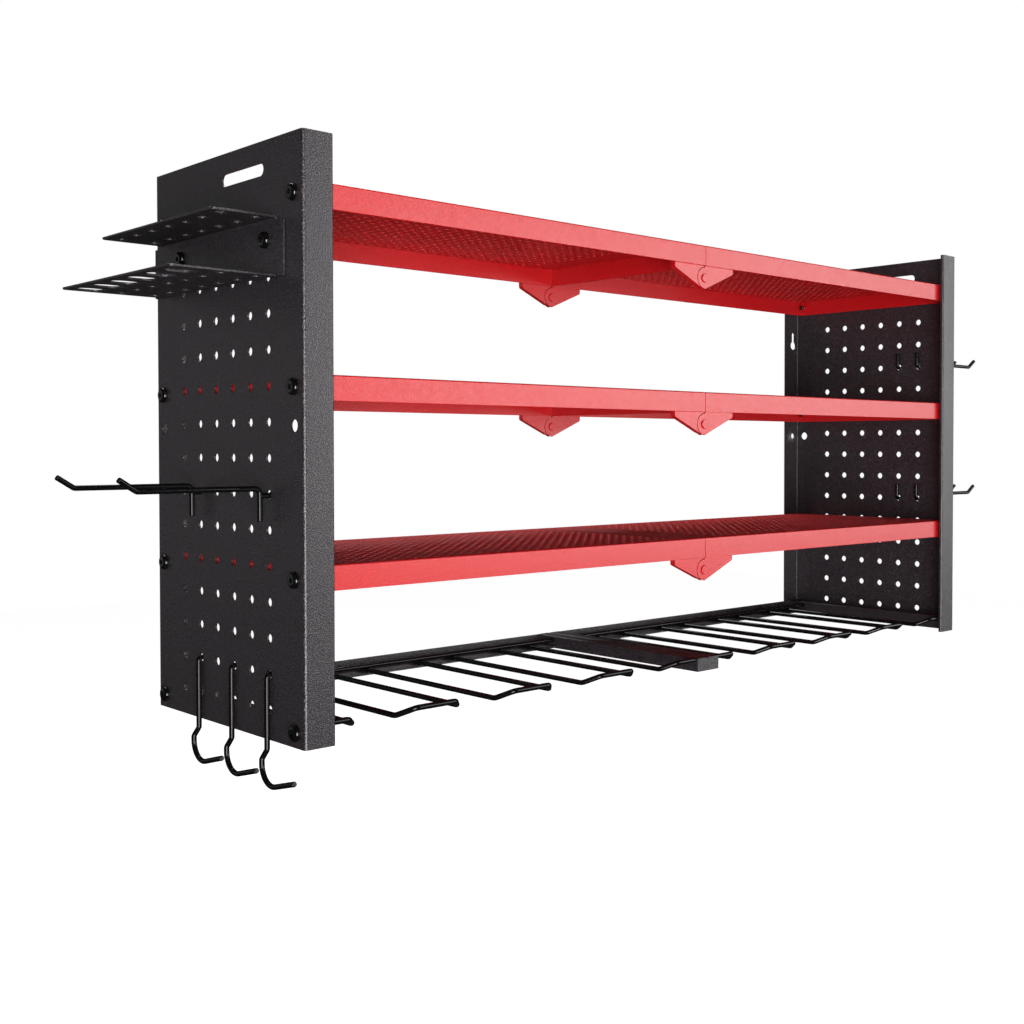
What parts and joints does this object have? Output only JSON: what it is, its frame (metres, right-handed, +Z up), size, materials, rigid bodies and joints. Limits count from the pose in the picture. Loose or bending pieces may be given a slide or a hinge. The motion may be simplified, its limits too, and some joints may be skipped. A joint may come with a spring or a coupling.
{
  "type": "wall mounted power tool organizer",
  "caption": "Wall rack with perforated side panels, hinged-centre shelves, a wire drill rack below, a screwdriver and plier holder and peg hooks.",
  "frame": {"origin": "on the wall plane, half way between the two side panels, at the height of the two wall screws that the keyholes hang on", "axes": "+X to the right of someone facing the rack, +Y into the wall, +Z up"},
  "size_m": [1.0752, 0.22, 0.4529],
  "materials": {
    "dark_panel": "fine textured charcoal powder coat",
    "red_shelf": "satin red powder coat",
    "black_wire": "gloss black coated wire",
    "black_screw": "black oxide steel"
  },
  "bodies": {
    "rack": {"side_panel_left": "dark_panel", "side_panel_right": "dark_panel", "shelf_top_left": "red_shelf", "shelf_screw_top_left_front": "black_screw", "shelf_screw_top_left_rear": "black_screw", "shelf_top_right": "red_shelf", "shelf_screw_top_right_front": "black_screw", "shelf_screw_top_right_rear": "black_screw", "hinge_leaf_top_front_left": "red_shelf", "hinge_leaf_top_front_right": "red_shelf", "hinge_pin_top_front": "red_shelf", "hinge_leaf_top_rear_left": "red_shelf", "hinge_leaf_top_rear_right": "red_shelf", "hinge_pin_top_rear": "red_shelf", "shelf_middle_left": "red_shelf", "shelf_screw_middle_left_front": "black_screw", "shelf_screw_middle_left_rear": "black_screw", "shelf_middle_right": "red_shelf", "shelf_screw_middle_right_front": "black_screw", "shelf_screw_middle_right_rear": "black_screw", "hinge_leaf_middle_front_left": "red_shelf", "hinge_leaf_middle_front_right": "red_shelf", "hinge_pin_middle_front": "red_shelf", "hinge_leaf_middle_rear_left": "red_shelf", "hinge_leaf_middle_rear_right": "red_shelf", "hinge_pin_middle_rear": "red_shelf", "shelf_lower_left": "red_shelf", "shelf_screw_lower_left_front": "black_screw", "shelf_screw_lower_left_rear": "black_screw", "shelf_lower_right": "red_shelf", "shelf_screw_lower_right_front": "black_screw", "shelf_screw_lower_right_rear": "black_screw", "hinge_leaf_lower_front_left": "red_shelf", "hinge_leaf_lower_front_right": "red_shelf", "hinge_pin_lower_front": "red_shelf", "hinge_leaf_lower_rear_left": "red_shelf", "hinge_leaf_lower_rear_right": "red_shelf", "hinge_pin_lower_rear": "red_shelf", "drill_rack_frame_left": "dark_panel", "drill_rack_wires_left": "black_wire", "rack_screw_left_front": "black_screw", "rack_screw_left_rear": "black_screw", "drill_rack_frame_right": "dark_panel", "drill_rack_wires_right": "black_wire", "rack_screw_right_front": "black_screw", "rack_screw_right_rear": "black_screw", "rack_join_bolt_front": "black_screw", "rack_join_bolt_rear": "black_screw", "tool_holder": "dark_panel", "holder_bolt_front": "black_screw", "holder_bolt_rear": "black_screw"},
    "prong_hook_left_rear": {"prong_hook_left_rear": "black_wire"},
    "prong_hook_left_front": {"prong_hook_left_front": "black_wire"},
    "prong_hook_right_upper_rear": {"prong_hook_right_upper_rear": "black_wire"},
    "prong_hook_right_upper_front": {"prong_hook_right_upper_front": "black_wire"},
    "prong_hook_right_lower_rear": {"prong_hook_right_lower_rear": "black_wire"},
    "prong_hook_right_lower_front": {"prong_hook_right_lower_front": "black_wire"},
    "cable_hook_rear": {"cable_hook_rear": "black_wire"},
    "cable_hook_middle": {"cable_hook_middle": "black_wire"},
    "cable_hook_front": {"cable_hook_front": "black_wire"}
  },
  "joints": [
    {"name": "prong_hook_left_rear_tilt", "type": "hinge", "parent": "rack", "child": "prong_hook_left_rear", "pos_m": [-0.41925, -0.0719, -0.1738], "axis": [0, 1, 0], "range_deg": [0, 50]},
    {"name": "prong_hook_left_front_tilt", "type": "hinge", "parent": "rack", "child": "prong_hook_left_front", "pos_m": [-0.41925, -0.1735, -0.1738], "axis": [0, 1, 0], "range_deg": [0, 50]},
    {"name": "prong_hook_right_upper_rear_tilt", "type": "hinge", "parent": "rack", "child": "prong_hook_right_upper_rear", "pos_m": [0.41925, -0.1481, -0.0468], "axis": [0, -1, 0], "range_deg": [0, 50]},
    {"name": "prong_hook_right_upper_front_tilt", "type": "hinge", "parent": "rack", "child": "prong_hook_right_upper_front", "pos_m": [0.41925, -0.1735, -0.0468], "axis": [0, -1, 0], "range_deg": [0, 50]},
    {"name": "prong_hook_right_lower_rear_tilt", "type": "hinge", "parent": "rack", "child": "prong_hook_right_lower_rear", "pos_m": [0.41925, -0.1481, -0.1992], "axis": [0, -1, 0], "range_deg": [0, 50]},
    {"name": "prong_hook_right_lower_front_tilt", "type": "hinge", "parent": "rack", "child": "prong_hook_right_lower_front", "pos_m": [0.41925, -0.1735, -0.1992], "axis": [0, -1, 0], "range_deg": [0, 50]},
    {"name": "cable_hook_rear_tilt", "type": "hinge", "parent": "rack", "child": "cable_hook_rear", "pos_m": [-0.41925, -0.0719, -0.3008], "axis": [0, 1, 0], "range_deg": [0, 55]},
    {"name": "cable_hook_middle_tilt", "type": "hinge", "parent": "rack", "child": "cable_hook_middle", "pos_m": [-0.41925, -0.1227, -0.3008], "axis": [0, 1, 0], "range_deg": [0, 55]},
    {"name": "cable_hook_front_tilt", "type": "hinge", "parent": "rack", "child": "cable_hook_front", "pos_m": [-0.41925, -0.1735, -0.3008], "axis": [0, 1, 0], "range_deg": [0, 55]}
  ]
}
